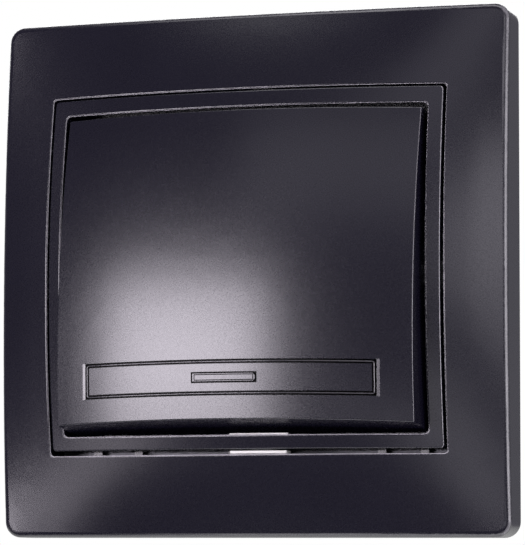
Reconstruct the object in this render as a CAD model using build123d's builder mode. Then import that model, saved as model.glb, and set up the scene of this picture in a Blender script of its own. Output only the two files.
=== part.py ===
from build123d import *
import os
from math import atan2, cos, degrees, radians, sin, tan

os.makedirs("parts", exist_ok=True)

# The wall is the plane Y = 0 and the room is towards -Y.
# A height is measured from the wall towards the room, a depth from the wall into the wall box.
# The origin is the middle of the box screw pattern. All sizes are millimetres and degrees.

# Outer frame and its dome
frame_w = 80.0
frame_h = 79.4
frame_corner_r = 2.4
frame_edge_r = 1.1
frame_wall = 2.0
frame_rim_height = 6.2
dome_rise_across = 1.05
dome_rise_up = 1.7
dome_rise_middle = 8.8
opening_w = 62.4
opening_h = 54.8
opening_corner_r = 0.6
collar_wall = 1.4
collar_height = 3.6
fine_edge_r = 0.2
rib_wall = 1.0
rib_count = 4
rib_spacing = 15.0

# Insert frame round the rocker
insert_gap_side = 0.45
insert_gap_end = 0.55
insert_lift = 0.2
rocker_opening_w = 57.3
rocker_opening_h = 49.1
rocker_opening_corner_r = 0.8
insert_leg_x = 9.0
insert_leg_w = 4.0
insert_leg_t = 1.2
insert_leg_reach = 2.2
insert_hook = 0.6
ledge_gap_side = 0.1
ledge_gap_end = 1.5
ledge_t = 1.0
centring_rib_w = 1.3
centring_rib_l = 1.5
centring_rib_height = 1.6
centring_rib_gap = 0.2
centring_rib_x = (19.4, 26.0)
screw_notch_w = 8.6
screw_notch_height = 3.8
leg_hook_gap = 0.1
leg_gap = 0.2

# Rocker, its strip and its bar
rocker_w = 55.6
rocker_h = 47.0
rocker_drop = 0.15
rocker_tilt = 5.4
pivot_height = 8.0
rocker_edge_height = 5.25
rocker_rise_across = 3.95
rocker_rise_up = 2.15
rocker_draft = 2.6
rocker_skirt = 3.0
rocker_wall = 1.6
rocker_corner_r = 0.2
rocker_edge_r = 0.18
strip_w = 45.3
strip_h = 5.3
strip_drop = 17.25
strip_depth = 1.0
strip_gap = 0.48
strip_seat_gap = 0.04
groove_depth = 0.35
bead_gap = 0.16
bead_w = 0.16
bead_depth = 0.04
bar_recess_w = 10.0
bar_recess_h = 1.45
bar_recess_depth = 0.4
bar_recess_bevel = 0.4
bar_gap = 0.17
bar_proud = 0.08
bar_bevel = 0.3

# Rocker cradle, plunger and spring
cradle_w = 24.6
cradle_h = 30.0
cradle_t = 1.6
cradle_seat = 3.6
cheek_t = 2.0
cheek_h = 11.0
cheek_wall = 1.0
cradle_corner_r = 1.0
pin_r = 1.6
pin_clearance = 0.05
pin_length = 2.7
tube_r = 3.5
tube_bore_r = 2.3
tube_reach = 7.0
plunger_r = 2.2
plunger_tip_r = 1.5
plunger_top = 3.0
plunger_shoulder = 8.0
plunger_reach = 13.5
spring_r = 1.75
spring_wire_r = 0.22
spring_turns = 4
spring_gap = 0.05
clip_leg_w = 5.0
clip_leg_t = 1.2
clip_x = 8.0
clip_hook = 0.65
clip_gap = 0.15

# Mounting plate
plate_gap_side = 2.5
plate_gap_end = 2.2
plate_t = 1.0
plate_corner_r = 5.0
plate_window_w = 24.0
plate_window_h = 28.0
box_screw_spacing = 60.0
box_slot_length = 7.0
box_slot_w = 4.0
peg_inset = 2.9
peg_r = 1.1
post_r = 2.0
peg_gap = 0.08

# Mechanism cover with its bearing posts and tongue
cover_inset = 0.2
cover_lap = 0.7
cover_t = 2.0
cover_corner_r = 1.5
cover_edge_r = 0.5
cover_window_w = 8.2
cover_window_h = 9.6
spigot_gap = 0.2
post_gap = 0.5
bearing_t = 2.4
bearing_w = 8.4
bearing_top_r = 3.2
snap_slot_w = 2.4
tongue_w = 9.2
tongue_t = 1.3
tongue_end = 27.2
tongue_pad_start = 24.1
tongue_pad_t = 2.3
tongue_gap = 0.4
cover_screw_inset = 2.6
cover_screw_z = 7.0
cover_screw_r = 1.3
cover_screw_head_r = 2.3
cover_screw_head_t = 1.4
cover_screw_depth = 8.0
screw_clearance = 0.08

# Mechanism base behind the plate
base_w = 38.4
base_h = 37.6
base_depth = 20.0
base_corner_r = 2.0
base_edge = 0.6
chamber_w = 7.6
chamber_gap = 1.6
floor_depth = 10.75
core_w = 6.6
core_h = 8.0
core_wall = 4.0
core_corner_r = 1.0
floor_t = 2.0

# Contacts
strip_metal_t = 0.8
strip_metal_w = 5.0
channel_gap = 0.3
knife_depth = 6.6
knife_w = 2.0
knife_gap = 0.05
blade_w = 5.0
blade_t = 0.8
blade_edge = 0.2
blade_bottom = 8.5
blade_tilt = 7.0
contact_r = 1.5
contact_t = 1.0
contact_gap = 0.05

# Terminals
terminal_inset_side = 7.7
terminal_inset_end = 4.0
cage_w = 7.2
cage_l = 5.0
cage_side_wall = 0.9
cage_front_wall = 1.0
cage_rear_wall = 2.25
cage_gap = 0.2
wire_space = 2.8
terminal_screw_r = 1.5
terminal_head_r = 2.7
terminal_head_t = 2.2
terminal_ledge = 0.5
terminal_travel = 2.4
pocket_gap = 0.3
cage_edge = 0.4
strip_end_gap = 0.5

# Claws, their screws and nuts
claw_gap = 0.4
claw_screw_r = 1.75
claw_screw_head_r = 3.0
claw_screw_head_t = 2.0
claw_screw_depth = 17.0
claw_pivot_inset = 0.9
claw_pivot_depth = 2.0
claw_pin_r = 1.0
claw_length = 15.5
claw_arm_w = 1.8
claw_arm_t = 1.0
claw_arm_inner = 2.3
claw_tooth = 0.8
claw_tooth_pitch = 1.9
claw_slack = 0.4
claw_teeth = 3
claw_eye_r = 1.6
claw_bridge_x = 0.4
claw_bridge_h = 2.0
claw_pin_proud = 0.2
nut_edge = 0.4
nut_w = 5.2
nut_t = 3.0
nut_depth = 13.5
lug_t = 1.0
lug_gap = 0.3
lug_half_w = 1.7

# Cross slots and edges that all the screws share
slot_w = 0.8
slot_depth = 1.0
slot_reach = 1.4
screw_edge = 0.45


def at_height(height):
    """A sketch plane parallel to the wall: X across, Z up, its normal towards the room."""
    return Plane.XZ.offset(height)


def at_depth(depth):
    """The same plane inside the wall box."""
    return Plane.XZ.offset(-depth)


def dome(edge_height, rise_x, rise_y, rise_both, width, length):
    """A surface over a width by length field, parabolic both ways and highest in the middle."""
    reach = 1.15
    end = 1 - reach**2
    shares = ((-reach, end), (0.0, 2 - end), (reach, end))
    grid = [
        [
            (x * width / 2, y * length / 2, edge_height + rise_x * u + rise_y * v + rise_both * u * v)
            for y, v in shares
        ]
        for x, u in shares
    ]
    return Face.make_bezier_surface(grid)


def tilted(depth, angle):
    """A plane through the X axis at a depth, turned about X by an angle, normal towards the room."""
    turn = radians(angle)
    return Plane(origin=(0, depth, 0), x_dir=(1, 0, 0), z_dir=(0, -cos(turn), -sin(turn)))


def finish(builder, name):
    """Labels a finished piece and writes it."""
    builder.part.label = name
    export_step(builder.part, f"parts/{name}.step")


# Sizes that follow from the ones above
frame_dome = dome(
    frame_rim_height, dome_rise_across, dome_rise_up, dome_rise_middle, frame_w, frame_h
).moved(Plane.XZ.location)
full_height = frame_rim_height + dome_rise_across + dome_rise_up + dome_rise_middle
insert_w = opening_w - 2 * insert_gap_side
insert_h = opening_h - 2 * insert_gap_end
plate_w = frame_w - 2 * (frame_wall + plate_gap_side)
plate_h = frame_h - 2 * (frame_wall + plate_gap_end)
peg_spacing_x = plate_w - 2 * peg_inset
peg_spacing_z = plate_h - 2 * peg_inset
cover_w = base_w - 2 * cover_inset
cover_h = base_h + 2 * cover_lap
cover_screw_x = cover_w / 2 - cover_screw_inset
terminal_x = base_w / 2 - terminal_inset_side
terminal_z = base_h / 2 - terminal_inset_end
contact_z = terminal_z - (cage_l + strip_metal_w) / 2 - pocket_gap
blade_top = contact_z + contact_r + blade_edge
chamber_top = blade_top + chamber_gap
chamber_bottom = -blade_bottom - chamber_gap
claw_screw_x = (base_w + nut_w) / 2 + claw_gap
claw_pivot_x = claw_screw_x - claw_pivot_inset
ledge_w = 2 * (claw_screw_x + claw_screw_head_r + ledge_gap_side)
ledge_h = cover_h + 2 * ledge_gap_end
bar_w = bar_recess_w - 2 * bar_gap
bar_h = bar_recess_h - 2 * bar_gap
insert_leg_z = (insert_h + rocker_opening_h) / 4
rocker_plane = tilted(-pivot_height, -rocker_tilt)
rocker_base_w = rocker_w + 2 * (rocker_edge_height + rocker_skirt) * tan(radians(rocker_draft))
rocker_base_h = rocker_h + 2 * (rocker_edge_height + rocker_skirt) * tan(radians(rocker_draft))
rocker_full = rocker_edge_height + rocker_rise_across + rocker_rise_up
clip_face = cradle_h / 2 + clip_gap
clip_top = cradle_seat - cradle_t - clip_gap
plate_front = plate_t
cover_front = plate_t + cover_t
strip_front_depth = floor_depth - strip_metal_t
cage_front_depth = strip_front_depth - wire_space - cage_front_wall
cage_rear_depth = floor_depth + cage_gap + cage_rear_wall
pocket_depth = cage_rear_depth + terminal_travel + pocket_gap
head_depth = pocket_depth + terminal_ledge
screw_end_depth = floor_depth + cage_gap / 2
nut_reach = claw_screw_x + nut_w / 2 - claw_pivot_x
claw_lean = degrees(atan2(nut_reach, nut_depth - claw_pivot_depth)) + claw_slack
claw_arm_outer = claw_arm_inner + claw_arm_t
blade_plane = tilted(knife_depth, blade_tilt)
spring_length = plunger_top + cradle_seat - cradle_t - 2 * spring_wire_r - 2 * spring_gap
closed_depth = (
    knife_depth
    + (contact_t - knife_gap) * cos(radians(blade_tilt))
    + (contact_z + contact_r) * sin(radians(blade_tilt))
    + contact_gap
)


def rocker_level(level):
    """A plane parallel to the rocker's face at a level above its pivot."""
    return rocker_plane.offset(level)


def cap_level(level):
    """The same plane, centred on the cap, which sits a little low on its pivot."""
    plane = rocker_level(level)
    return Plane(
        origin=plane.origin - rocker_drop * plane.y_dir, x_dir=plane.x_dir, z_dir=plane.z_dir
    )


def rocker_dome(lower):
    """The rocker's face, or the same surface lowered by a distance."""
    surface = dome(
        rocker_edge_height - lower, rocker_rise_across, rocker_rise_up, 0, rocker_w, rocker_h
    )
    return surface.moved(cap_level(0).location)


def rocker_side(x):
    """A plane across the rocker: along its face, then out of it."""
    return Plane(
        origin=(x, rocker_plane.origin.Y, rocker_plane.origin.Z), x_dir=rocker_plane.y_dir, z_dir=(1, 0, 0)
    )


def strip_outline(side, start_z, grow):
    """The flat outline of a contact strip, from under the blade across and along to its terminal."""
    width = strip_metal_w + 2 * grow
    end_z = side * (terminal_z + cage_l / 2 - strip_end_gap)
    with Locations((side * terminal_x / 2, start_z)):
        Rectangle(terminal_x + width, width)
    with Locations((side * terminal_x, start_z - side * width / 2)):
        Rectangle(
            width,
            abs(end_z - start_z) + width / 2,
            align=(Align.CENTER, Align.MIN if side > 0 else Align.MAX),
        )


# Outer frame: the hollow behind it, less its collar, ribs and corner posts
with BuildPart() as frame_hollow:
    with BuildSketch(at_height(0)):
        RectangleRounded(frame_w - 2 * frame_wall, frame_h - 2 * frame_wall, frame_corner_r / 3)
    extrude(amount=full_height)
    split(bisect_by=frame_dome.moved(Location((0, frame_wall, 0))), keep=Keep.BOTTOM)
    with BuildSketch(at_height(collar_height)):
        RectangleRounded(
            opening_w + 2 * collar_wall, opening_h + 2 * collar_wall, opening_corner_r + collar_wall
        )
    extrude(amount=full_height, mode=Mode.SUBTRACT)
    with BuildSketch(at_height(collar_height)):
        with GridLocations(rib_spacing, 0, rib_count, 1):
            Rectangle(rib_wall, frame_h)
        with GridLocations(0, rib_spacing, 1, rib_count):
            Rectangle(frame_w, rib_wall)
    extrude(amount=full_height, mode=Mode.SUBTRACT)
    with BuildSketch(at_height(plate_front)):
        with GridLocations(peg_spacing_x, peg_spacing_z, 2, 2):
            Circle(post_r)
    extrude(amount=full_height, mode=Mode.SUBTRACT)

with BuildPart() as outer_frame:
    with BuildSketch(at_height(0)):
        RectangleRounded(frame_w, frame_h, frame_corner_r)
    extrude(amount=full_height)
    split(bisect_by=frame_dome, keep=Keep.BOTTOM)
    fillet(outer_frame.faces().sort_by(Axis.Y)[0].edges(), frame_edge_r)
    add(frame_hollow.part, mode=Mode.SUBTRACT)
    with BuildSketch(at_height(0)):
        RectangleRounded(opening_w, opening_h, opening_corner_r)
    extrude(amount=full_height, mode=Mode.SUBTRACT)
    fillet(outer_frame.faces().sort_by(Axis.Y)[0].inner_wires()[0].edges(), fine_edge_r)
    with BuildSketch(at_height(plate_front)):
        with GridLocations(peg_spacing_x, peg_spacing_z, 2, 2):
            Circle(peg_r)
    extrude(amount=peg_gap - plate_t)
finish(outer_frame, "outer_frame")

# Insert frame: a ring under the same dome with a ledge inside, centring ribs, and four clip legs
with BuildPart() as insert_frame:
    with BuildSketch(at_height(plate_front)):
        with Locations((0, insert_lift)):
            RectangleRounded(insert_w, insert_h, opening_corner_r)
        RectangleRounded(
            rocker_opening_w, rocker_opening_h, rocker_opening_corner_r, mode=Mode.SUBTRACT
        )
    extrude(amount=full_height)
    split(bisect_by=frame_dome, keep=Keep.BOTTOM)
    fillet(insert_frame.faces().sort_by(Axis.Y)[0].edges(), fine_edge_r)
    with BuildSketch(at_height(plate_front)):
        Rectangle(rocker_opening_w, rocker_opening_h)
        Rectangle(ledge_w, ledge_h, mode=Mode.SUBTRACT)
    extrude(amount=ledge_t)
    with BuildSketch(at_height(plate_front)):
        for x in centring_rib_x:
            with GridLocations(2 * x, opening_h - 2 * centring_rib_gap - centring_rib_l, 2, 2):
                Rectangle(centring_rib_w, centring_rib_l)
    extrude(amount=centring_rib_height)
    with BuildSketch(at_height(plate_front)):
        with Locations((0, -insert_h / 2)):
            Rectangle(
                tongue_w + 2 * tongue_gap, (insert_h - ledge_h) / 2, align=(Align.CENTER, Align.MIN)
            )
    extrude(amount=tongue_pad_t + tongue_gap, mode=Mode.SUBTRACT)
    with BuildSketch(at_height(plate_front)):
        Rectangle(insert_w, screw_notch_w)
    extrude(amount=screw_notch_height - plate_front, mode=Mode.SUBTRACT)
    with BuildSketch(at_height(plate_front)):
        with GridLocations(2 * insert_leg_x, 2 * insert_leg_z, 2, 2):
            Rectangle(insert_leg_w, insert_leg_t)
    extrude(amount=-plate_t - insert_leg_reach)
    for side in (-1, 1):
        with BuildSketch(Plane.YZ.offset(side * insert_leg_x - insert_leg_w / 2)):
            with BuildLine():
                Polyline(
                    (leg_hook_gap, insert_leg_z - insert_leg_t / 2),
                    (leg_hook_gap, insert_leg_z - insert_leg_t / 2 - insert_hook),
                    (insert_leg_reach, insert_leg_z - insert_leg_t / 2),
                    (insert_leg_reach, insert_leg_z),
                    (leg_hook_gap, insert_leg_z),
                    close=True,
                )
            make_face()
            mirror(about=Plane.XZ)
        extrude(amount=insert_leg_w)
finish(insert_frame, "insert_frame")

# Mounting plate: zinc plated steel with its slots, holes and the bent lugs of the claws
with BuildPart() as mounting_plate:
    with BuildSketch(at_height(0)):
        RectangleRounded(plate_w, plate_h, plate_corner_r)
        Rectangle(plate_window_w, plate_window_h, mode=Mode.SUBTRACT)
        with GridLocations(box_screw_spacing, 0, 2, 1):
            SlotOverall(box_slot_length, box_slot_w, mode=Mode.SUBTRACT)
        with GridLocations(0, box_screw_spacing, 1, 2):
            SlotOverall(box_slot_length, box_slot_w, rotation=90, mode=Mode.SUBTRACT)
        with GridLocations(peg_spacing_x, peg_spacing_z, 2, 2):
            Circle(peg_r + peg_gap, mode=Mode.SUBTRACT)
        with GridLocations(2 * insert_leg_x, 2 * insert_leg_z, 2, 2):
            Rectangle(insert_leg_w + 2 * leg_gap, insert_leg_t + 2 * leg_gap, mode=Mode.SUBTRACT)
        with GridLocations(2 * claw_screw_x, 0, 2, 1):
            Circle(claw_screw_r + screw_clearance, mode=Mode.SUBTRACT)
        with GridLocations(2 * cover_screw_x, 2 * cover_screw_z, 2, 2):
            Circle(cover_screw_r + screw_clearance, mode=Mode.SUBTRACT)
    extrude(amount=plate_t)
    for z in (-claw_arm_outer - lug_gap - lug_t, claw_arm_outer + lug_gap):
        with BuildSketch(Plane.XY.offset(z)):
            with Locations((-claw_pivot_x, 0), (claw_pivot_x, 0)):
                Rectangle(2 * lug_half_w, claw_pivot_depth, align=(Align.CENTER, Align.MIN))
            with Locations((-claw_pivot_x, claw_pivot_depth), (claw_pivot_x, claw_pivot_depth)):
                Circle(lug_half_w)
                Circle(claw_pin_r + pin_clearance, mode=Mode.SUBTRACT)
        extrude(amount=lug_t)
finish(mounting_plate, "mounting_plate")

# Mechanism cover: white front plate with a spigot in the steel window, bearing posts and a tongue
with BuildPart() as mechanism_cover:
    with BuildSketch(at_height(plate_front)):
        RectangleRounded(cover_w, cover_h, cover_corner_r)
    extrude(amount=cover_t)
    fillet(mechanism_cover.faces().sort_by(Axis.Y)[0].edges(), cover_edge_r)
    with BuildSketch(at_height(0)):
        RectangleRounded(plate_window_w - 2 * spigot_gap, plate_window_h - 2 * spigot_gap, cover_corner_r)
    extrude(amount=plate_t)
    with BuildSketch(at_height(plate_front)):
        with Locations((0, -tongue_end)):
            Rectangle(tongue_w, tongue_end - cover_h / 2 + cover_corner_r, align=(Align.CENTER, Align.MIN))
    extrude(amount=tongue_t)
    with BuildSketch(at_height(plate_front)):
        with Locations((0, -tongue_end)):
            Rectangle(tongue_w, tongue_end - tongue_pad_start, align=(Align.CENTER, Align.MIN))
    extrude(amount=tongue_pad_t)
    for side in (-1, 1):
        inner_x = side * (cradle_w / 2 + post_gap)
        with BuildSketch(Plane.YZ.offset(inner_x)):
            with Locations((-plate_front, 0)):
                Rectangle(pivot_height - plate_front, bearing_w, align=(Align.MAX, Align.CENTER))
            with Locations((-pivot_height, 0)):
                Circle(bearing_top_r)
                Circle(pin_r + pin_clearance, mode=Mode.SUBTRACT)
                Rectangle(
                    2 * bearing_top_r, snap_slot_w, align=(Align.MAX, Align.CENTER), mode=Mode.SUBTRACT
                )
        extrude(amount=side * bearing_t)
    with BuildSketch(at_height(0)):
        RectangleRounded(cover_window_w, cover_window_h, cover_corner_r)
        with GridLocations(2 * cover_screw_x, 2 * cover_screw_z, 2, 2):
            Circle(cover_screw_r + screw_clearance)
    extrude(amount=cover_front, mode=Mode.SUBTRACT)
finish(mechanism_cover, "mechanism_cover")

# Mechanism base: white moulded housing with channels for the contact strips and terminal pockets
with BuildPart() as mechanism_base:
    with BuildSketch(at_depth(0)):
        RectangleRounded(base_w, base_h, base_corner_r)
    extrude(amount=-base_depth)
    chamfer(mechanism_base.faces().sort_by(Axis.Y)[-1].edges(), base_edge)
    with BuildSketch(at_depth(0)):
        with Locations((0, (chamber_top + chamber_bottom) / 2)):
            Rectangle(chamber_w, chamber_top - chamber_bottom)
        strip_outline(1, contact_z, channel_gap)
        strip_outline(-1, 0, channel_gap)
    extrude(amount=-floor_depth, mode=Mode.SUBTRACT)
    with BuildSketch(at_depth(0)):
        with GridLocations(2 * terminal_x, 2 * terminal_z, 2, 2):
            Rectangle(cage_w + 2 * pocket_gap, cage_l + 2 * pocket_gap)
    extrude(amount=-pocket_depth, mode=Mode.SUBTRACT)
    with BuildSketch(at_depth(0)):
        with GridLocations(2 * terminal_x, 2 * terminal_z, 2, 2):
            Circle(terminal_screw_r + pocket_gap)
    extrude(amount=-base_depth, mode=Mode.SUBTRACT)
    with BuildSketch(at_depth(head_depth)):
        with GridLocations(2 * terminal_x, 2 * terminal_z, 2, 2):
            Circle(terminal_head_r + pocket_gap)
    extrude(amount=-base_depth, mode=Mode.SUBTRACT)
    with BuildSketch(at_depth(floor_depth + floor_t)):
        with GridLocations(terminal_x, core_h + core_wall, 3, 2):
            RectangleRounded(core_w, core_h, core_corner_r)
    extrude(amount=-base_depth, mode=Mode.SUBTRACT)
    for side in (-1, 1):
        with BuildSketch(Plane.XY.offset(side * terminal_z)):
            with GridLocations(2 * terminal_x, 2 * strip_front_depth - wire_space, 2, 2):
                Circle(wire_space / 2)
        extrude(amount=side * base_h, mode=Mode.SUBTRACT)
    with BuildSketch(at_depth(0)):
        with GridLocations(2 * cover_screw_x, 2 * cover_screw_z, 2, 2):
            Circle(cover_screw_r + screw_clearance)
    extrude(amount=-cover_screw_depth - screw_clearance, mode=Mode.SUBTRACT)
finish(mechanism_base, "mechanism_base")

# Four identical screws that hold the cover and the base together through the plate
with BuildPart() as cover_screws:
    with BuildSketch(at_height(cover_front)):
        with GridLocations(2 * cover_screw_x, 2 * cover_screw_z, 2, 2):
            Circle(cover_screw_head_r)
    extrude(amount=cover_screw_head_t)
    chamfer(cover_screws.faces().sort_by(Axis.Y)[0:4].edges(), screw_edge)
    with BuildSketch(at_height(cover_front + cover_screw_head_t)):
        with GridLocations(2 * cover_screw_x, 2 * cover_screw_z, 2, 2):
            Rectangle(slot_w, slot_reach * cover_screw_head_r)
            Rectangle(slot_reach * cover_screw_head_r, slot_w)
    extrude(amount=-slot_depth, mode=Mode.SUBTRACT)
    with BuildSketch(at_height(cover_front)):
        with GridLocations(2 * cover_screw_x, 2 * cover_screw_z, 2, 2):
            Circle(cover_screw_r)
    extrude(amount=-cover_front - cover_screw_depth)
finish(cover_screws, "cover_screws")

# Fixed contact: a copper strip on the chamber floor with its silver button
with BuildPart() as fixed_contact_strip:
    with BuildSketch(at_depth(floor_depth)):
        strip_outline(1, contact_z, 0)
    extrude(amount=strip_metal_t)
finish(fixed_contact_strip, "fixed_contact_strip")

with BuildPart() as fixed_contact_button:
    with BuildSketch(at_depth(strip_front_depth)):
        with Locations((0, contact_z)):
            Circle(contact_r)
    extrude(amount=strip_front_depth - closed_depth)
finish(fixed_contact_button, "fixed_contact_button")

# Common strip: its knife edge carries the see-saw blade
with BuildPart() as common_strip:
    with BuildSketch(at_depth(floor_depth)):
        strip_outline(-1, 0, 0)
    extrude(amount=strip_metal_t)
    with BuildSketch(Plane.YZ.offset(-blade_w / 2)):
        with BuildLine():
            Polyline(
                (strip_front_depth, -knife_w / 2),
                (knife_depth + knife_w / 2, -knife_w / 2),
                (knife_depth, 0),
                (knife_depth + knife_w / 2, knife_w / 2),
                (strip_front_depth, knife_w / 2),
                close=True,
            )
        make_face()
    extrude(amount=blade_w)
finish(common_strip, "common_strip")

# See-saw blade and the silver button on its back
with BuildPart() as moving_contact:
    with BuildSketch(blade_plane.offset(knife_gap)):
        with Locations((0, (blade_top - blade_bottom) / 2)):
            RectangleRounded(blade_w, blade_top + blade_bottom, blade_t)
    extrude(amount=blade_t)
finish(moving_contact, "moving_contact")

with BuildPart() as moving_contact_button:
    with BuildSketch(blade_plane.offset(knife_gap)):
        with Locations((0, contact_z)):
            Circle(contact_r)
    extrude(amount=-contact_t)
finish(moving_contact_button, "moving_contact_button")


def terminal_cage(side):
    """A brass ring round the end of a contact strip, tapped for the terminal screw."""
    with BuildPart() as cage:
        with BuildSketch(Plane.XY.offset(side * terminal_z - cage_l / 2)):
            with Locations((side * terminal_x, cage_front_depth)):
                Rectangle(cage_w, cage_rear_depth - cage_front_depth, align=(Align.CENTER, Align.MIN))
            with Locations((side * terminal_x, cage_front_depth + cage_front_wall)):
                Rectangle(
                    cage_w - 2 * cage_side_wall,
                    cage_rear_depth - cage_rear_wall - cage_front_depth - cage_front_wall,
                    align=(Align.CENTER, Align.MIN),
                    mode=Mode.SUBTRACT,
                )
        extrude(amount=cage_l)
        chamfer(cage.edges().filter_by(Axis.Z).group_by(Axis.Y)[0], cage_edge)
        with BuildSketch(at_depth(floor_depth)):
            with Locations((side * terminal_x, side * terminal_z)):
                Circle(terminal_screw_r + screw_clearance)
        extrude(amount=-base_depth, mode=Mode.SUBTRACT)
    return cage


def terminal_screw(side):
    """A screw that turns in place: its end bears on the strip and its head on the housing's ledge."""
    with BuildPart() as screw:
        with BuildSketch(at_depth(head_depth)):
            with Locations((side * terminal_x, side * terminal_z)):
                Circle(terminal_head_r)
        extrude(amount=-terminal_head_t)
        chamfer(screw.faces().sort_by(Axis.Y)[-1].edges(), screw_edge)
        with BuildSketch(at_depth(head_depth + terminal_head_t)):
            with Locations((side * terminal_x, side * terminal_z)):
                Rectangle(slot_w, slot_reach * terminal_head_r)
                Rectangle(slot_reach * terminal_head_r, slot_w)
        extrude(amount=slot_depth, mode=Mode.SUBTRACT)
        with BuildSketch(at_depth(head_depth)):
            with Locations((side * terminal_x, side * terminal_z)):
                Circle(terminal_screw_r)
        extrude(amount=head_depth - screw_end_depth)
    return screw


for name, side in (("line", -1), ("load", 1)):
    finish(terminal_cage(side), f"{name}_terminal_cage")
    finish(terminal_screw(side), f"{name}_terminal_screw")


def claw_screw(side):
    """A screw from the front of the plate that draws the claw's nut forward."""
    with BuildPart() as screw:
        with BuildSketch(at_height(plate_front)):
            with Locations((side * claw_screw_x, 0)):
                Circle(claw_screw_head_r)
        extrude(amount=claw_screw_head_t)
        chamfer(screw.faces().sort_by(Axis.Y)[0].edges(), screw_edge)
        with BuildSketch(at_height(plate_front + claw_screw_head_t)):
            with Locations((side * claw_screw_x, 0)):
                Rectangle(slot_w, slot_reach * claw_screw_head_r)
                Rectangle(slot_reach * claw_screw_head_r, slot_w)
        extrude(amount=-slot_depth, mode=Mode.SUBTRACT)
        with BuildSketch(at_height(plate_front)):
            with Locations((side * claw_screw_x, 0)):
                Circle(claw_screw_r)
        extrude(amount=-plate_front - claw_screw_depth)
        chamfer(screw.faces().sort_by(Axis.Y)[-1].edges(), screw_edge)
    return screw


def claw_nut(side):
    """A square nut whose wings push on the claw's arms."""
    with BuildPart() as nut:
        with BuildSketch(at_depth(nut_depth)):
            with Locations((side * claw_screw_x, 0)):
                Rectangle(nut_w, 2 * claw_arm_outer)
                Circle(claw_screw_r + screw_clearance, mode=Mode.SUBTRACT)
        extrude(amount=-nut_t)
        chamfer(nut.edges().filter_by(Axis.Y).sort_by(Axis.X)[:2], nut_edge)
        chamfer(nut.edges().filter_by(Axis.Y).sort_by(Axis.X)[-2:], nut_edge)
    return nut


def claw(side):
    """Two toothed arms with a bridge behind, swinging on stub pins in the plate's lugs."""
    lean = radians(claw_lean)
    plane = Plane(
        origin=(side * claw_pivot_x, claw_pivot_depth, 0),
        x_dir=(side * cos(lean), -sin(lean), 0),
        z_dir=(0, 0, side),
    )
    teeth = [(claw_arm_w, claw_length)]
    for tooth in range(claw_teeth):
        start = claw_length - tooth * claw_tooth_pitch
        teeth.append((claw_arm_w + claw_tooth, start - claw_tooth_pitch / 3))
        teeth.append((claw_arm_w, start - claw_tooth_pitch))
    with BuildPart() as lever:
        for level in (claw_arm_inner, -claw_arm_outer):
            with BuildSketch(plane.offset(level)):
                with BuildLine():
                    Polyline((0, 0), (0, claw_length), *teeth, (claw_eye_r, 0), close=True)
                make_face()
                Circle(claw_eye_r)
            extrude(amount=claw_arm_t)
        with BuildSketch(plane.offset(-claw_arm_outer)):
            with Locations((claw_bridge_x, claw_length - claw_bridge_h)):
                Rectangle(claw_arm_w - claw_bridge_x, claw_bridge_h, align=(Align.MIN, Align.MIN))
        extrude(amount=2 * claw_arm_outer)
        for start, way in ((claw_arm_inner, 1), (-claw_arm_inner, -1)):
            with BuildSketch(plane.offset(start)):
                Circle(claw_pin_r)
            extrude(amount=way * (claw_arm_t + lug_gap + lug_t + claw_pin_proud))
    return lever


for name, side in (("left", -1), ("right", 1)):
    finish(claw_screw(side), f"{name}_claw_screw")
    finish(claw_nut(side), f"{name}_claw_nut")
    finish(claw(side), f"{name}_claw")

# Rocker cradle: plate, cheeks with trunnion pins, and the tube for the plunger
with BuildPart() as rocker_cradle:
    with BuildSketch(rocker_level(cradle_seat - cradle_t)):
        RectangleRounded(cradle_w, cradle_h, cradle_corner_r)
    extrude(amount=cradle_t)
    for side in (-1, 1):
        with BuildSketch(rocker_side(side * cradle_w / 2)):
            Rectangle(cheek_h, cradle_seat - cradle_t, align=(Align.CENTER, Align.MIN))
            Circle(pin_r + cheek_wall)
        extrude(amount=-side * cheek_t)
        with BuildSketch(rocker_side(side * cradle_w / 2)):
            Circle(pin_r)
        extrude(amount=side * pin_length)
    with BuildSketch(rocker_level(-tube_reach)):
        Circle(tube_r)
    extrude(amount=tube_reach + cradle_seat - cradle_t)
    with BuildSketch(rocker_level(-tube_reach)):
        Circle(tube_bore_r)
    extrude(amount=tube_reach + cradle_seat - cradle_t, mode=Mode.SUBTRACT)
finish(rocker_cradle, "rocker_cradle")

# Plunger with its round tip, pressed on the blade by a coil spring in the cradle's tube
with BuildPart() as plunger:
    with BuildSketch(rocker_side(0)):
        with BuildLine():
            Polyline(
                (0, -plunger_reach),
                (0, -plunger_top),
                (plunger_r, -plunger_top),
                (plunger_r, -plunger_shoulder),
                (plunger_tip_r, -plunger_shoulder - plunger_r + plunger_tip_r),
                (plunger_tip_r, plunger_tip_r - plunger_reach),
            )
            RadiusArc(
                (plunger_tip_r, plunger_tip_r - plunger_reach), (0, -plunger_reach), plunger_tip_r
            )
        make_face()
    revolve(axis=Axis(rocker_plane.origin, rocker_plane.z_dir))
finish(plunger, "plunger")

with BuildPart() as plunger_spring:
    with BuildLine() as coil:
        Helix(
            pitch=spring_length / spring_turns,
            height=spring_length,
            radius=spring_r,
            center=rocker_level(spring_wire_r + spring_gap - plunger_top).origin,
            direction=rocker_plane.z_dir,
        )
    with BuildSketch(Plane(origin=coil.line @ 0, z_dir=coil.line % 0)):
        Circle(spring_wire_r)
    sweep(path=coil.line)
finish(plunger_spring, "plunger_spring")

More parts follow.
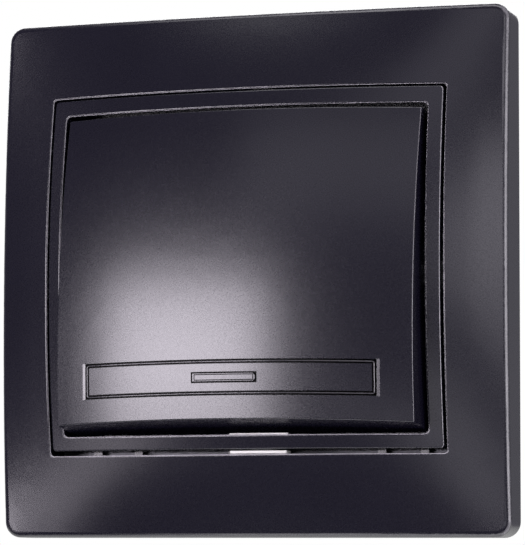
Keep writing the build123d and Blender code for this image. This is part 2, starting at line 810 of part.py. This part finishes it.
# Rocker cap: the hollow under it, less the ribs that rest on the cradle and the clip legs
with BuildPart() as rocker_hollow:
    with BuildSketch(cap_level(-rocker_skirt)):
        Rectangle(rocker_base_w - 2 * rocker_wall, rocker_base_h - 2 * rocker_wall)
    extrude(amount=rocker_skirt + rocker_full, taper=rocker_draft)
    split(bisect_by=rocker_dome(rocker_wall), keep=Keep.BOTTOM)
    with BuildSketch(rocker_level(cradle_seat)):
        with GridLocations(2 * clip_x, 0, 2, 1):
            Rectangle(rib_wall, cradle_h)
    extrude(amount=rocker_full, mode=Mode.SUBTRACT)
    with BuildSketch(rocker_level(clip_top - clip_hook)):
        with GridLocations(2 * clip_x, 2 * clip_face + clip_leg_t, 2, 2):
            Rectangle(clip_leg_w, clip_leg_t)
    extrude(amount=rocker_full, mode=Mode.SUBTRACT)

with BuildPart() as strip_pocket:
    with BuildSketch(cap_level(0)):
        with Locations((0, -strip_drop)):
            Rectangle(strip_w, strip_h)
    extrude(amount=2 * rocker_full)
    split(bisect_by=rocker_dome(strip_depth), keep=Keep.TOP)

with BuildPart() as rocker_cap:
    with BuildSketch(cap_level(-rocker_skirt)):
        Rectangle(rocker_base_w, rocker_base_h)
    extrude(amount=rocker_skirt + rocker_full, taper=rocker_draft)
    split(bisect_by=rocker_dome(0), keep=Keep.BOTTOM)
    fillet(rocker_cap.edges().filter_by(lambda e: abs(e.tangent_at(0.5).Y) > 0.9), rocker_corner_r)
    fillet(rocker_cap.faces().sort_by(Axis.Y)[0].edges(), rocker_edge_r)
    add(rocker_hollow.part, mode=Mode.SUBTRACT)
    add(strip_pocket.part, mode=Mode.SUBTRACT)
    for x in (-clip_x, clip_x):
        with BuildSketch(rocker_side(x - clip_leg_w / 2)):
            with BuildLine():
                Polyline(
                    (clip_face, clip_top),
                    (clip_face - clip_hook, clip_top),
                    (clip_face, clip_top - clip_hook),
                    (clip_face + clip_leg_t / 2, clip_top - clip_hook),
                    (clip_face + clip_leg_t / 2, clip_top),
                    close=True,
                )
            make_face()
            mirror(about=Plane.YZ)
        extrude(amount=clip_leg_w)
finish(rocker_cap, "rocker_cap")


def bar_outline(width, height, bevel):
    """The bar's flat outline: square at its left end, bevelled at its right end."""
    with Locations((0, -strip_drop)):
        bar = Rectangle(width, height)
    chamfer(bar.vertices().sort_by(Axis.X)[-2:], bevel)


# Strip let into the rocker: its foot fills the pocket and carries a fine bead between two grooves
with BuildPart() as bar_recess:
    with BuildSketch(cap_level(0)):
        bar_outline(bar_recess_w, bar_recess_h, bar_recess_bevel)
    extrude(amount=2 * rocker_full)
    split(bisect_by=rocker_dome(bar_recess_depth), keep=Keep.TOP)

with BuildPart() as strip_foot:
    with BuildSketch(cap_level(0)):
        with Locations((0, -strip_drop)):
            Rectangle(strip_w - 2 * strip_seat_gap, strip_h - 2 * strip_seat_gap)
    extrude(amount=2 * rocker_full)
    split(bisect_by=rocker_dome(strip_depth), keep=Keep.TOP)
    split(bisect_by=rocker_dome(groove_depth), keep=Keep.BOTTOM)

with BuildPart() as strip_bead:
    with BuildSketch(cap_level(0)):
        with Locations((0, -strip_drop)):
            Rectangle(strip_w - 2 * bead_gap, strip_h - 2 * bead_gap)
            Rectangle(
                strip_w - 2 * bead_gap - 2 * bead_w, strip_h - 2 * bead_gap - 2 * bead_w, mode=Mode.SUBTRACT
            )
    extrude(amount=2 * rocker_full)
    split(bisect_by=rocker_dome(strip_depth), keep=Keep.TOP)
    split(bisect_by=rocker_dome(bead_depth), keep=Keep.BOTTOM)

with BuildPart() as rocker_strip:
    with BuildSketch(cap_level(0)):
        with Locations((0, -strip_drop)):
            Rectangle(strip_w - 2 * strip_gap, strip_h - 2 * strip_gap)
    extrude(amount=2 * rocker_full)
    split(bisect_by=rocker_dome(strip_depth), keep=Keep.TOP)
    split(bisect_by=rocker_dome(0), keep=Keep.BOTTOM)
    add(strip_foot.part)
    add(strip_bead.part)
    add(bar_recess.part, mode=Mode.SUBTRACT)
finish(rocker_strip, "rocker_strip")

with BuildPart() as strip_bar:
    with BuildSketch(cap_level(0)):
        bar_outline(bar_w, bar_h, bar_bevel)
    extrude(amount=2 * rocker_full)
    split(bisect_by=rocker_dome(bar_recess_depth), keep=Keep.TOP)
    split(bisect_by=rocker_dome(-bar_proud), keep=Keep.BOTTOM)
finish(strip_bar, "strip_bar")
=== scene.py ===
from math import cos, radians, sin

import bmesh
import bpy
from mathutils import Matrix, Vector


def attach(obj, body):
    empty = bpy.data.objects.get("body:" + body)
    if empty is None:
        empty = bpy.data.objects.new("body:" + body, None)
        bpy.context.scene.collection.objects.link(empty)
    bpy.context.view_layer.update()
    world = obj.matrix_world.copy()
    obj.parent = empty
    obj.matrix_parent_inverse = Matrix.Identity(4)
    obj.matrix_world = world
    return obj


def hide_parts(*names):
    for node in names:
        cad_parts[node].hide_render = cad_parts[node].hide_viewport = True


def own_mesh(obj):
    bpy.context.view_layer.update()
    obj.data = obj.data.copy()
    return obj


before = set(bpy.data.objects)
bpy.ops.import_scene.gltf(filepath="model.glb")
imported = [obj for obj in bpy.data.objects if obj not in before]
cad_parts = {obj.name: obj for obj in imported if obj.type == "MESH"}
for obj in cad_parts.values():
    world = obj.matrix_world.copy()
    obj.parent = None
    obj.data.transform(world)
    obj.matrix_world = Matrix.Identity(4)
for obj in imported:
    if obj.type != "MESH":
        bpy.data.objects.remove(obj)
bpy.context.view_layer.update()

# All lengths are in metres. +X is to the right seen from the room, +Y into the wall and +Z up.

# Camera: right of and below the middle of the switch, on a long lens
VIEW_YAW = 17.819
VIEW_PITCH = 5.352
VIEW_ROLL = 0.189
VIEW_DISTANCE = 0.488003
VIEW_TARGET = Vector((-0.000359, 0.0, 0.000843))
FOCAL_PIXELS = 3184.362
FRAME_LONG_SIDE = 545
SENSOR = 36.0
CLIP_START = 0.01
CLIP_END = 50

# Rocker and strip, as in the CAD model
TILT = radians(5.4)
PIVOT = Vector((0, -0.008, 0))
ALONG = Vector((0, sin(TILT), cos(TILT)))
OUTWARD = Vector((0, -cos(TILT), sin(TILT)))
ROCKER_HALF_W = 0.0278
ROCKER_HALF_H = 0.0235
ROCKER_EDGE = 0.00525
RISE_ACROSS = 0.00395
RISE_UP = 0.00215
ROCKER_DROP = 0.00015
STRIP_DROP = 0.01725
STRIP_HALF_W = 0.02265
STRIP_HALF_H = 0.00265

# Trim of the strip: two grooves with a bead between them, both grooves darkened with painted shade,
# and bevels at the ends of its recess
GROOVES_W = 0.00066
GROOVES_SOFT = 0.00004
BEAD_INSET = 0.00033
BEAD_HALF_W = 0.00008
BEAD_HALF_H = 0.000035
BEAD_LIFT = -0.000006
BEAD_CORNER_R = 0.0003
BEAD_SIDES = 12
BEAD_STEPS_STRAIGHT = 60
BEAD_STEPS_CORNER = 6
END_BEVEL_W = 0.00045
END_BEVEL_DEPTH = 0.00008
END_BEVEL_FOOT = 0.0001
END_BEVEL_SIDE = 0.00006

# Painted shade on the small bar: a dark rim round its recess, and a fine dark line just inside its
# edge
BAR_RECESS_HALF_W = 0.005
BAR_RECESS_HALF_H = 0.000725
BAR_RIM_W = 0.00009
BAR_RIM_SOFT = 0.00003
BAR_LINE_HALF_W = 0.00455
BAR_LINE_HALF_H = 0.0004
BAR_LINE_W = 0.00014
BAR_LINE_SOFT = 0.00002

# Painted highlight on rounded edges: those round an opening, those that face up reaching further onto
# the front, and a share of those that face right. Each pair says where a mask starts and where it is
# full, as a part of the normal
FROM_WALL = (0.3, 0.45)
TO_FRONT = (0.7, 0.82)
TO_FRONT_UPWARD = (0.9, 0.96)
FACES_UP = (0.2, 0.35)
FACES_RIGHT = (0.3, 0.5)
FACES_MIDDLE = (-0.004, 0.0)

# Sheen of the plastic: less on its sides than on its front, and least in the lines of painted shade
SHEEN_FRONT = 0.5
SHEEN_SIDE = 0.15
SHEEN_LINE = 0.02
# Colour of the painted shade in the grooves and round the small bar
PAINTED_SHADE_BLACK = (0.0005, 0.0005, 0.0005)

# Noise of the materials: features per metre, and how far they change the look
TONE_PATCHES = 60.0
# Patches along the painted edge highlight
HIGHLIGHT_PATCHES = 220.0
HIGHLIGHT_LEAST = 0.7
PLASTIC_SHEEN_CHANGE = 0.02
METAL_TONES = 250.0
METAL_SHEENS = 500.0
METAL_BUMPS = 900.0
METAL_SHEEN_CHANGE = 0.07


class Nodes:
    """Short calls for building a node tree."""

    def __init__(self, tree):
        self.tree = tree
        self.coords = self.add("ShaderNodeTexCoord").outputs

    def add(self, kind, **values):
        node = self.tree.nodes.new(kind)
        for key, value in values.items():
            setattr(node, key, value)
        return node

    def link(self, source, target):
        self.tree.links.new(source, target)

    def spread(self, value, low, high, start=0.3, end=0.7):
        """Maps a value from start..end to low..high."""
        node = self.add("ShaderNodeMapRange")
        for key, number in (("From Min", start), ("From Max", end), ("To Min", low), ("To Max", high)):
            node.inputs[key].default_value = number
        self.link(value, node.inputs["Value"])
        return node.outputs["Result"]

    def rise(self, value, start, end):
        """0 up to start, 1 from end."""
        return self.spread(value, 0.0, 1.0, start, end)

    def fall(self, value, start, end):
        """1 up to start, 0 from end."""
        return self.spread(value, 1.0, 0.0, start, end)

    def math(self, operation, first, second=None):
        """One sum on a value, or on two."""
        node = self.add("ShaderNodeMath", operation=operation)
        for socket, value in zip(node.inputs, (first, second)):
            if isinstance(value, (int, float)):
                socket.default_value = value
            elif value is not None:
                self.link(value, socket)
        return node.outputs["Value"]

    def split(self, source):
        """The three parts of a vector."""
        node = self.add("ShaderNodeSeparateXYZ")
        self.link(source, node.inputs["Vector"])
        return node.outputs

    def seen_by(self, *kinds):
        """1 for rays of these kinds, 0 for all others."""
        rays = self.add("ShaderNodeLightPath").outputs
        seen = rays[f"Is {kinds[0]} Ray"]
        for kind in kinds[1:]:
            seen = self.math("MAXIMUM", seen, rays[f"Is {kind} Ray"])
        return seen


class Surface(Nodes):
    """A material and the short calls for its node tree."""

    def __init__(self, name):
        self.material = bpy.data.materials.new(name)
        self.material.use_nodes = True
        super().__init__(self.material.node_tree)
        self.shader = self.tree.nodes["Principled BSDF"]
        self.place = self.coords["Object"]
        self.turn = self.coords["Normal"]

    def set(self, **values):
        """Gives the shader fixed values."""
        for key, value in values.items():
            self.shader.inputs[key.replace("_", " ")].default_value = value

    def feed(self, value, key):
        """Gives the shader a value that changes over the surface."""
        self.link(value, self.shader.inputs[key])

    def noise(self, scale, detail=2.0, rough=0.5, stretch=(1, 1, 1)):
        """A noise value between 0 and 1; scale is in features per metre."""
        mapping = self.add("ShaderNodeMapping")
        mapping.inputs["Scale"].default_value = stretch
        self.link(self.place, mapping.inputs["Vector"])
        node = self.add("ShaderNodeTexNoise")
        node.inputs["Scale"].default_value = scale
        node.inputs["Detail"].default_value = detail
        node.inputs["Roughness"].default_value = rough
        self.link(mapping.outputs["Vector"], node.inputs["Vector"])
        return node.outputs["Fac"]

    def tones(self, value, dark, light):
        """A colour between two tones, by a noise value."""
        node = self.add("ShaderNodeValToRGB")
        for element, spot, colour in zip(node.color_ramp.elements, (0.3, 0.7), (dark, light)):
            element.position = spot
            element.color = (*colour, 1)
        self.link(value, node.inputs["Fac"])
        return node.outputs["Color"]

    def mix(self, share, first, second):
        """Two colours mixed by a share; the second one is fixed."""
        node = self.add("ShaderNodeMix", data_type="RGBA")
        self.link(share, node.inputs["Factor"])
        self.link(first, node.inputs["A"])
        node.inputs["B"].default_value = (*second, 1)
        return node.outputs["Result"]

    def bump(self, value, depth, below=None):
        """Raises the surface by value times depth."""
        node = self.add("ShaderNodeBump")
        node.inputs["Strength"].default_value = 1.0
        node.inputs["Distance"].default_value = depth
        self.link(value, node.inputs["Height"])
        if below is not None:
            self.link(below, node.inputs["Normal"])
        self.feed(node.outputs["Normal"], "Normal")
        return node.outputs["Normal"]

    def edges(self, right_edge_highlight):
        """Mask of the painted edge highlight: 1 on the rounded edges round an opening, and a given
        share on those that face right.
        """
        turn, place = self.split(self.turn), self.split(self.place)
        front = self.math("ABSOLUTE", turn["Y"])
        upward = self.math(
            "MULTIPLY", self.rise(turn["Z"], *FACES_UP), self.fall(front, *TO_FRONT_UPWARD)
        )
        to_front = self.math("MAXIMUM", self.fall(front, *TO_FRONT), upward)
        rounded = self.math("MULTIPLY", self.rise(front, *FROM_WALL), to_front)
        sum_x = self.math("MULTIPLY", turn["X"], place["X"])
        sum_z = self.math("MULTIPLY", turn["Z"], place["Z"])
        inward = self.fall(self.math("ADD", sum_x, sum_z), *FACES_MIDDLE)
        right = self.spread(turn["X"], 0.0, right_edge_highlight, *FACES_RIGHT)
        return self.math("MULTIPLY", rounded, self.math("MAXIMUM", inward, right))

    def inset(self, half_w, half_h):
        """How far a point lies inside a rectangle in the middle of the strip, across and up."""
        x, y, z = (self.split(self.place)[key] for key in "XYZ")
        height = self.math(
            "ADD", self.math("MULTIPLY", z, cos(TILT)), self.math("MULTIPLY", y, sin(TILT))
        )
        middle = -PIVOT.y * sin(TILT) + ROCKER_DROP + STRIP_DROP
        from_middle = self.math("ABSOLUTE", self.math("ADD", height, middle))
        across = self.math("SUBTRACT", half_w, self.math("ABSOLUTE", x))
        return across, self.math("SUBTRACT", half_h, from_middle)


def groove_shade(n):
    """Mask of painted shade: 1 in the strip's grooves and on the rim of the small bar's recess."""
    inside = n.math("MINIMUM", *n.inset(STRIP_HALF_W, STRIP_HALF_H))
    round_bar = n.math("MINIMUM", *n.inset(BAR_RECESS_HALF_W, BAR_RECESS_HALF_H))
    return n.math(
        "MAXIMUM",
        n.fall(inside, GROOVES_W - GROOVES_SOFT, GROOVES_W + GROOVES_SOFT),
        n.rise(round_bar, -BAR_RIM_W - BAR_RIM_SOFT, -BAR_RIM_W + BAR_RIM_SOFT),
    )


def bar_shade_line(n):
    """Mask of painted shade: 1 on the fine line just inside the small bar's edge."""
    off_line = n.math("ABSOLUTE", n.math("MINIMUM", *n.inset(BAR_LINE_HALF_W, BAR_LINE_HALF_H)))
    return n.fall(off_line, BAR_LINE_W / 2 - BAR_LINE_SOFT, BAR_LINE_W / 2 + BAR_LINE_SOFT)


def end_bevels(n):
    """Slopes the cap down to both ends of the strip, and leaves its long sides level."""
    across, along = n.inset(STRIP_HALF_W, STRIP_HALF_H)
    slope = n.fall(across, -END_BEVEL_W, 0.0)
    foot = n.rise(across, 0.0, END_BEVEL_FOOT)
    beside = n.fall(along, -END_BEVEL_SIDE, 0.0)
    return n.bump(n.math("MAXIMUM", n.math("MAXIMUM", slope, foot), beside), END_BEVEL_DEPTH)


def grained_plastic(
    name, dark, light, roughness, grain, depth, index=1.5,
    edge_highlight=None, right_edge_highlight=0.8, dull_sides=(0.05, 0.15), lines=None, relief=None,
):
    """Moulded plastic with a fine grain and a slow change of tone.

    An edge colour, if given, is a painted highlight on the rounded edges. lines marks lines of painted
    shade in near black, and relief is a coarser bump under the grain.
    """
    n = Surface(name)
    n.set(IOR=index)
    colour = n.tones(n.noise(TONE_PATCHES, 4.0), dark, light)
    if edge_highlight is not None:
        # Painted highlight on the rounded edges, patchy along them
        patchy = n.spread(n.noise(HIGHLIGHT_PATCHES, 2.0), HIGHLIGHT_LEAST, 1.0)
        colour = n.mix(n.math("MULTIPLY", n.edges(right_edge_highlight), patchy), colour, edge_highlight)
        front = n.math("ABSOLUTE", n.split(n.turn)["Y"])
        n.feed(n.spread(front, SHEEN_SIDE, SHEEN_FRONT, *dull_sides), "Specular IOR Level")
    if lines is not None:
        # Painted shade in near black along the given lines
        shade = lines(n)
        colour = n.mix(shade, colour, PAINTED_SHADE_BLACK)
        n.feed(n.spread(shade, SHEEN_FRONT, SHEEN_LINE, 0.0, 1.0), "Specular IOR Level")
    below = None if relief is None else relief(n)
    n.feed(colour, "Base Color")
    low, high = roughness - PLASTIC_SHEEN_CHANGE, roughness + PLASTIC_SHEEN_CHANGE
    n.feed(n.spread(n.noise(grain * 0.7, 1.0), low, high), "Roughness")
    n.bump(n.noise(grain, 1.0), depth, below)
    return n.material


def metal(name, dark, light, roughness, stretch, depth, front=None):
    """Plated or drawn metal, faintly streaked along one way; a front colour, if given, is painted
    shade on the faces that look into the room.
    """
    n = Surface(name)
    n.set(Metallic=1.0)
    colour = n.tones(n.noise(METAL_TONES, 4.0, 0.6, stretch), dark, light)
    if front is not None:
        # Painted shade: the faces that look into the room get the darker front colour
        colour = n.mix(n.fall(n.split(n.turn)["Y"], -0.6, -0.4), colour, front)
    n.feed(colour, "Base Color")
    low, high = roughness - METAL_SHEEN_CHANGE, roughness + METAL_SHEEN_CHANGE
    n.feed(n.spread(n.noise(METAL_SHEENS, 3.0, 0.6, stretch), low, high), "Roughness")
    n.bump(n.noise(METAL_BUMPS, 2.0, 0.5, stretch), depth)
    return n.material


BLACK = {
    "dark": (0.0065, 0.0055, 0.0135),
    "light": (0.008, 0.007, 0.016),
    "roughness": 0.265,
    "grain": 5200.0,
    "depth": 0.6e-6,
    "index": 1.75,
}
# The bead's plastic: glossier than the black plastic, and painted lighter as a painted highlight along
# the bead
GLOSSY_BLACK_PAINTED_HIGHLIGHT = {
    **BLACK,
    "dark": (0.05, 0.046, 0.055),
    "light": (0.07, 0.066, 0.075),
    "roughness": 0.12,
    "depth": 0.3e-6,
}
ZINC = {
    "dark": (0.4, 0.41, 0.41),
    "light": (0.52, 0.53, 0.53),
    "roughness": 0.45,
    "stretch": (1, 1, 6),
    "depth": 6e-6,
}
# Colours of the painted highlight on rounded edges; weaker on the rocker's cap
PAINTED_EDGE_HIGHLIGHT = (0.75, 0.72, 0.78)
CAP_PAINTED_EDGE_HIGHLIGHT = (0.4, 0.38, 0.42)
CAP_DULL_SIDES = (0.4, 0.65)
# Painted shade on the mounting plate's front, which shows only through the narrow gaps
PLATE_FRONT_PAINTED_SHADE = (0.14, 0.14, 0.15)

black = grained_plastic("black_plastic", **BLACK, edge_highlight=PAINTED_EDGE_HIGHLIGHT)
frame_black = grained_plastic("black_plastic_frame", **BLACK, edge_highlight=PAINTED_EDGE_HIGHLIGHT, right_edge_highlight=0.3)
cap_black = grained_plastic(
    "black_plastic_cap", **BLACK, edge_highlight=CAP_PAINTED_EDGE_HIGHLIGHT, dull_sides=CAP_DULL_SIDES, relief=end_bevels
)
strip_black = grained_plastic("black_plastic_strip", **BLACK, lines=groove_shade)
bar_black = grained_plastic("black_plastic_bar", **BLACK, lines=bar_shade_line)
bead_black = grained_plastic("black_plastic_bead", **GLOSSY_BLACK_PAINTED_HIGHLIGHT)
white = grained_plastic("white_plastic", (0.76, 0.75, 0.71), (0.82, 0.81, 0.77), 0.42, 1200.0, 4e-6)
# The tongue's plastic: the white plastic painted lighter, as painted light, so that it shows bright in
# the narrow gap
tongue_lit_white = grained_plastic(
    "white_plastic_tongue_painted_light", (0.86, 0.85, 0.82), (0.9, 0.89, 0.87), 0.42, 1200.0, 4e-6
)
grey = grained_plastic("grey_plastic", (0.42, 0.42, 0.41), (0.5, 0.5, 0.49), 0.4, 1200.0, 4e-6)
zinc = metal("zinc_steel", **ZINC)
plate_zinc = metal("zinc_steel_plate", **ZINC, front=PLATE_FRONT_PAINTED_SHADE)
wire = metal("spring_steel", (0.42, 0.42, 0.42), (0.55, 0.55, 0.55), 0.3, (1, 1, 1), 3e-6)
copper = metal("copper_alloy", (0.62, 0.33, 0.2), (0.74, 0.42, 0.27), 0.3, (6, 1, 1), 4e-6)
brass = metal("brass", (0.62, 0.47, 0.18), (0.72, 0.57, 0.25), 0.28, (1, 6, 1), 4e-6)
silver = metal("silver", (0.74, 0.74, 0.72), (0.84, 0.84, 0.82), 0.25, (1, 1, 1), 2e-6)

FINISHES = {
    "outer_frame": frame_black,
    "insert_frame": black,
    "rocker_cap": cap_black,
    "rocker_strip": strip_black,
    "strip_bar": bar_black,
    "rocker_cradle": white,
    "plunger": grey,
    "plunger_spring": wire,
    "mounting_plate": plate_zinc,
    "mechanism_cover": white,
    "mechanism_base": white,
    "cover_screws": zinc,
    "common_strip": copper,
    "fixed_contact_strip": copper,
    "fixed_contact_button": silver,
    "moving_contact": copper,
    "moving_contact_button": silver,
}
for end in ("line", "load"):
    FINISHES[f"{end}_terminal_cage"] = brass
    FINISHES[f"{end}_terminal_screw"] = zinc
for side in ("left", "right"):
    for piece_name in ("claw_screw", "claw_nut", "claw"):
        FINISHES[f"{side}_{piece_name}"] = zinc


def finish(mesh, material):
    """Gives a mesh its one material."""
    mesh.materials.clear()
    mesh.materials.append(material)


for node_name, material in FINISHES.items():
    finish(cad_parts[node_name].data, material)


def add_piece(name, mesh, material):
    """Puts a piece of the dressed part into the scene."""
    finish(mesh, material)
    piece = bpy.data.objects.new(name, mesh)
    bpy.context.collection.objects.link(piece)
    return piece


def on_rocker(x, up):
    """The point of the rocker's face at x, and up from the middle of its cap."""
    level = (
        ROCKER_EDGE
        + RISE_ACROSS * (1 - (x / ROCKER_HALF_W) ** 2)
        + RISE_UP * (1 - (up / ROCKER_HALF_H) ** 2)
    )
    return PIVOT + Vector((x, 0, 0)) + (up - ROCKER_DROP) * ALONG + level * OUTWARD


def rounded_rectangle(half_w, half_h, radius, straight, arc):
    """Points of a rounded rectangle, each with its outward way.

    straight is the number of steps on each side, and arc that on each corner.
    """
    points = []
    corners = ((1, 1, 0), (-1, 1, 90), (-1, -1, 180), (1, -1, 270))
    for i, (sx, sy, start) in enumerate(corners):
        for k in range(arc + 1):
            a = radians(start + 90 * k / arc)
            way = (cos(a), sin(a))
            middle = (sx * (half_w - radius), sy * (half_h - radius))
            points.append((middle[0] + radius * way[0], middle[1] + radius * way[1], way))
        nx, ny, _ = corners[(i + 1) % 4]
        last = points[-1]
        end = (nx * (half_w - radius) + radius * way[0], ny * (half_h - radius) + radius * way[1])
        for k in range(1, straight):
            t = k / straight
            points.append((last[0] + t * (end[0] - last[0]), last[1] + t * (end[1] - last[1]), way))
    return points


def bead_mesh(name, path, half_w, half_h, lift, sides):
    """A low bead on the rocker's face, along a closed path of (x, up, outward way)."""
    mesh = bpy.data.meshes.new(name)
    verts, faces = [], []
    for x, up, way in path:
        base = on_rocker(x, up)
        out = Vector((way[0], 0, 0)) + way[1] * ALONG
        for k in range(sides):
            a = radians(360 * k / sides)
            verts.append(base + half_w * cos(a) * out + (lift + half_h * sin(a)) * OUTWARD)
    count = len(path)
    for i in range(count):
        j = (i + 1) % count
        for k in range(sides):
            m = (k + 1) % sides
            faces.append((i * sides + k, i * sides + m, j * sides + m, j * sides + k))
    mesh.from_pydata(verts, [], faces)
    mesh.shade_smooth()
    return mesh


def block_mesh(name, low, high, radius):
    """A small block with rounded edges between two corners."""
    mesh = bpy.data.meshes.new(name)
    shape = bmesh.new()
    bmesh.ops.create_cube(shape, size=1.0)
    middle, size = (Vector(low) + Vector(high)) / 2, Vector(high) - Vector(low)
    for vert in shape.verts:
        vert.co = middle + Vector([a * b for a, b in zip(vert.co, size)])
    bmesh.ops.bevel(
        shape, geom=shape.edges[:], offset=radius, segments=3, profile=0.5, affect="EDGES",
        clamp_overlap=True,
    )
    shape.to_mesh(mesh)
    shape.free()
    mesh.shade_smooth()
    return mesh


# Bead round the strip
bead_rectangle = rounded_rectangle(
    STRIP_HALF_W - BEAD_INSET, STRIP_HALF_H - BEAD_INSET, BEAD_CORNER_R,
    BEAD_STEPS_STRAIGHT, BEAD_STEPS_CORNER,
)
bead_path = [(x, up - STRIP_DROP, way) for x, up, way in bead_rectangle]
strip_bead_mesh = bead_mesh("strip_bead", bead_path, BEAD_HALF_W, BEAD_HALF_H, BEAD_LIFT, BEAD_SIDES)
bead = add_piece("strip_bead", strip_bead_mesh, bead_black)
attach(bead, "rocker")

# White tongue of the mechanism cover, where it shows below and above the lower bar of the insert, in a
# lighter copy of the white plastic that is painted light
TONGUE_FACES = (
    ("tongue_outer", (-0.0013, -0.0126, -0.02734), (0.0075, -0.0106, -0.0269), 0.0001),
    ("tongue_inner", (-0.0012, -0.0133, -0.0246), (0.0079, -0.0128, -0.02433), 0.00008),
)
for name, low, high, radius in TONGUE_FACES:
    piece = add_piece(name, block_mesh(name, low, high, radius), tongue_lit_white)
    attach(piece, "housing")

# Plunger spring: the CAD model's coil as a piece of its own
coil_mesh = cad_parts["plunger_spring"].data.copy()
coil = add_piece("plunger_coil", coil_mesh, wire)
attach(coil, "rocker")
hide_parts("plunger_spring")
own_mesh(coil)


def direction(azimuth, elevation):
    """A unit vector: azimuth 0 points to the room, 90 to the right, elevation is up."""
    a, e = radians(azimuth), radians(elevation)
    return Vector((sin(a) * cos(e), -cos(a) * cos(e), sin(e)))


def lamp(name, azimuth, elevation, distance, width, height, power, colour):
    """A soft box that looks at the middle of the switch."""
    data = bpy.data.lights.new(name, "AREA")
    data.shape = "RECTANGLE"
    data.size = width
    data.size_y = height
    data.energy = power
    data.color = colour
    lit = bpy.data.objects.new(name, data)
    bpy.context.collection.objects.link(lit)
    way = direction(azimuth, elevation)
    lit.location = LAMP_AIM + way * distance
    lit.rotation_mode = "QUATERNION"
    lit.rotation_quaternion = (-way).to_track_quat("-Z", "Y")


# Lamps: azimuth, elevation, distance, width, height, watts and colour
LAMP_AIM = Vector((0, -0.015, 0))
LAMPS = {
    "key": (-27, 1, 0.7, 0.42, 0.28, 3.5, (0.97, 0.905, 1.0)),
    "fill": (42, 16, 0.7, 0.25, 0.4, 0.6, (0.95, 0.91, 1.0)),
    "right": (88, 0, 0.7, 0.4, 0.4, 1.6, (0.97, 0.95, 1.0)),
    "low": (-40, -22, 0.7, 0.2, 0.2, 0.23, (0.97, 0.9, 1.0)),
    "low_right": (20, -17, 0.7, 0.45, 0.2, 0.25, (0.94, 0.91, 1.0)),
    "high": (5, 32, 0.7, 0.5, 0.2, 0.16, (0.94, 0.91, 1.0)),
    "top": (0, 82, 0.7, 0.5, 0.3, 1.3, (0.97, 0.95, 1.0)),
    "below": (0, -80, 0.7, 0.5, 0.3, 0.9, (0.97, 0.95, 1.0)),
    "rear": (200, 25, 0.9, 0.6, 0.5, 4.0, (1.0, 1.0, 1.0)),
}
for name, values in LAMPS.items():
    lamp(name, *values)

# World: white where it is seen, an even grey light on everything, and in reflections a room that
# is dim in front of the switch and lighter on the wall's side
WHITE_STRENGTH = 1.0
EVEN_STRENGTH = 0.25
ROOM_COLOUR = (0.92, 0.9, 1)
ROOM_STRENGTH_FRONT = 0.04
ROOM_STRENGTH_WALL = 0.32
ROOM_CHANGE = (-0.1, 0.3)


def background(n, colour=(1, 1, 1)):
    """A background shader of the world."""
    node = n.add("ShaderNodeBackground")
    node.inputs["Color"].default_value = (*colour, 1)
    return node


def mix_shaders(n, share, first, second):
    """The first shader where share is 0, the second where it is 1."""
    node = n.add("ShaderNodeMixShader")
    n.link(share, node.inputs["Fac"])
    n.link(first.outputs[0], node.inputs[1])
    n.link(second.outputs[0], node.inputs[2])
    return node


world = bpy.data.worlds.new("studio")
bpy.context.scene.world = world
world.use_nodes = True
world.node_tree.nodes.clear()
studio = Nodes(world.node_tree)
white_sky = background(studio)
white_sky.inputs["Strength"].default_value = WHITE_STRENGTH
even_sky = background(studio)
even_sky.inputs["Strength"].default_value = EVEN_STRENGTH
room = background(studio, ROOM_COLOUR)
to_wall = studio.split(studio.coords["Generated"])["Y"]
room_strength = studio.spread(to_wall, ROOM_STRENGTH_FRONT, ROOM_STRENGTH_WALL, *ROOM_CHANGE)
studio.link(room_strength, room.inputs["Strength"])
lighting = mix_shaders(studio, studio.seen_by("Glossy"), even_sky, room)
whole = mix_shaders(studio, studio.seen_by("Camera", "Transmission"), lighting, white_sky)
studio.link(whole.outputs[0], studio.add("ShaderNodeOutputWorld").inputs["Surface"])

# Floor: plain and pale, well below the switch and behind it
FLOOR_SIZE = 6
FLOOR_PLACE = (0, 2.9, -0.9)
FLOOR_GLOW = 0.65
bpy.ops.mesh.primitive_plane_add(size=FLOOR_SIZE, location=FLOOR_PLACE)
floor = bpy.context.object
floor.name = "floor"
pale = Surface("pale_floor")
pale.set(Base_Color=(0.9, 0.9, 0.9, 1), Roughness=0.9, Emission_Color=(1, 1, 1, 1))
shown = pale.seen_by("Camera", "Glossy", "Transmission")
pale.feed(pale.math("MULTIPLY", shown, FLOOR_GLOW), "Emission Strength")
finish(floor.data, pale.material)

# Camera
yaw, pitch, roll = radians(VIEW_YAW), radians(VIEW_PITCH), radians(VIEW_ROLL)
back = Vector((sin(yaw) * cos(pitch), -cos(yaw) * cos(pitch), -sin(pitch)))
level = (-back).cross(Vector((0, 0, 1))).normalized()
upright = level.cross(-back)
across = cos(roll) * level + sin(roll) * upright
up = cos(roll) * upright - sin(roll) * level
camera_data = bpy.data.cameras.new("camera")
camera_data.sensor_width = SENSOR
camera_data.lens = FOCAL_PIXELS * SENSOR / FRAME_LONG_SIDE
camera_data.clip_start = CLIP_START
camera_data.clip_end = CLIP_END
camera = bpy.data.objects.new("camera", camera_data)
bpy.context.collection.objects.link(camera)
camera.matrix_world = Matrix.Translation(VIEW_TARGET + VIEW_DISTANCE * back) @ Matrix(
    (across, up, back)
).transposed().to_4x4()
bpy.context.scene.camera = camera

bpy.context.scene.view_settings.view_transform = "Standard"
